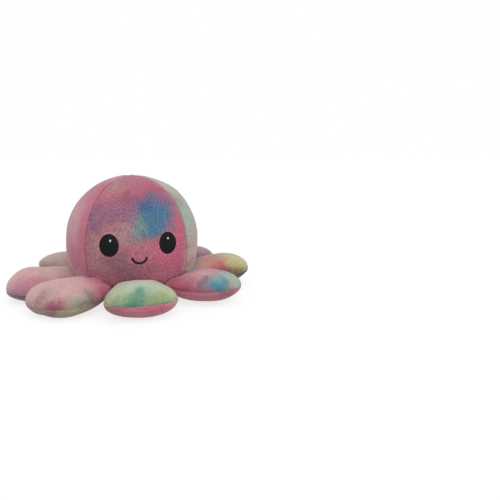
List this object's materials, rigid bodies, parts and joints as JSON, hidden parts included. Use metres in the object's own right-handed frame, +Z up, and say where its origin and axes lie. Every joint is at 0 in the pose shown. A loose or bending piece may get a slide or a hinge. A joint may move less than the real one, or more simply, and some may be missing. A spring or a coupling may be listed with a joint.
{
  "type": "plush octopus",
  "caption": "Reversible plush octopus: padded dome head with an embroidered face, stuffed tentacles hinged at a sewn ring, and a pocket whose lining bears another face.",
  "frame": {"origin": "under the middle of the head, on the surface that the toy stands on", "axes": "+Z up; the happy face looks along -Y; +X is the right of someone who looks at that face"},
  "size_m": [0.2, 0.2, 0.097],
  "materials": {
    "head_plush": "matte",
    "lining_plush": "matte",
    "tentacle_top_plush": "matte",
    "tentacle_underside_plush": "matte",
    "ring_plush": "matte",
    "fibre_fill": "matte",
    "black_thread": "satin",
    "white_thread": "satin"
  },
  "bodies": {
    "head": {"head_panel_front": "head_plush", "head_panel_right": "head_plush", "head_panel_back": "head_plush", "head_panel_left": "head_plush", "lining_panel_front": "lining_plush", "lining_panel_right": "lining_plush", "lining_panel_back": "lining_plush", "lining_panel_left": "lining_plush", "head_padding": "fibre_fill", "skirt_ring": "ring_plush", "eye_left": "black_thread", "eye_left_glint": "white_thread", "eye_right": "black_thread", "eye_right_glint": "white_thread", "smile": "black_thread", "lining_eye_left": "black_thread", "lining_eye_left_glint": "white_thread", "lining_eye_right": "black_thread", "lining_eye_right_glint": "white_thread", "frown": "black_thread"},
    "tentacle_front": {"tentacle_front_top_cover": "tentacle_top_plush", "tentacle_front_underside_cover": "tentacle_underside_plush", "tentacle_front_filling": "fibre_fill"},
    "tentacle_front_right": {"tentacle_front_right_top_cover": "tentacle_top_plush", "tentacle_front_right_underside_cover": "tentacle_underside_plush", "tentacle_front_right_filling": "fibre_fill"},
    "tentacle_right": {"tentacle_right_top_cover": "tentacle_top_plush", "tentacle_right_underside_cover": "tentacle_underside_plush", "tentacle_right_filling": "fibre_fill"},
    "tentacle_back_right": {"tentacle_back_right_top_cover": "tentacle_top_plush", "tentacle_back_right_underside_cover": "tentacle_underside_plush", "tentacle_back_right_filling": "fibre_fill"},
    "tentacle_back": {"tentacle_back_top_cover": "tentacle_top_plush", "tentacle_back_underside_cover": "tentacle_underside_plush", "tentacle_back_filling": "fibre_fill"},
    "tentacle_back_left": {"tentacle_back_left_top_cover": "tentacle_top_plush", "tentacle_back_left_underside_cover": "tentacle_underside_plush", "tentacle_back_left_filling": "fibre_fill"},
    "tentacle_left": {"tentacle_left_top_cover": "tentacle_top_plush", "tentacle_left_underside_cover": "tentacle_underside_plush", "tentacle_left_filling": "fibre_fill"},
    "tentacle_front_left": {"tentacle_front_left_top_cover": "tentacle_top_plush", "tentacle_front_left_underside_cover": "tentacle_underside_plush", "tentacle_front_left_filling": "fibre_fill"}
  },
  "joints": [
    {"name": "tentacle_front_bend", "type": "hinge", "parent": "head", "child": "tentacle_front", "pos_m": [0, -0.04816, 0.0168], "axis": [-1, 0, 0], "range_deg": [-30, 15], "stiffness_Nm_per_rad": 0.03},
    {"name": "tentacle_front_right_bend", "type": "hinge", "parent": "head", "child": "tentacle_front_right", "pos_m": [0.03405, -0.03405, 0.0168], "axis": [-0.7071, -0.7071, 0], "range_deg": [-30, 15], "stiffness_Nm_per_rad": 0.03},
    {"name": "tentacle_right_bend", "type": "hinge", "parent": "head", "child": "tentacle_right", "pos_m": [0.04816, 0, 0.0168], "axis": [0, -1, 0], "range_deg": [-30, 15], "stiffness_Nm_per_rad": 0.03},
    {"name": "tentacle_back_right_bend", "type": "hinge", "parent": "head", "child": "tentacle_back_right", "pos_m": [0.03405, 0.03405, 0.0168], "axis": [0.7071, -0.7071, 0], "range_deg": [-30, 15], "stiffness_Nm_per_rad": 0.03},
    {"name": "tentacle_back_bend", "type": "hinge", "parent": "head", "child": "tentacle_back", "pos_m": [0, 0.04816, 0.0168], "axis": [1, 0, 0], "range_deg": [-30, 15], "stiffness_Nm_per_rad": 0.03},
    {"name": "tentacle_back_left_bend", "type": "hinge", "parent": "head", "child": "tentacle_back_left", "pos_m": [-0.03405, 0.03405, 0.0168], "axis": [0.7071, 0.7071, 0], "range_deg": [-30, 15], "stiffness_Nm_per_rad": 0.03},
    {"name": "tentacle_left_bend", "type": "hinge", "parent": "head", "child": "tentacle_left", "pos_m": [-0.04816, 0, 0.0168], "axis": [0, 1, 0], "range_deg": [-30, 15], "stiffness_Nm_per_rad": 0.03},
    {"name": "tentacle_front_left_bend", "type": "hinge", "parent": "head", "child": "tentacle_front_left", "pos_m": [-0.03405, -0.03405, 0.0168], "axis": [-0.7071, 0.7071, 0], "range_deg": [-30, 15], "stiffness_Nm_per_rad": 0.03}
  ]
}
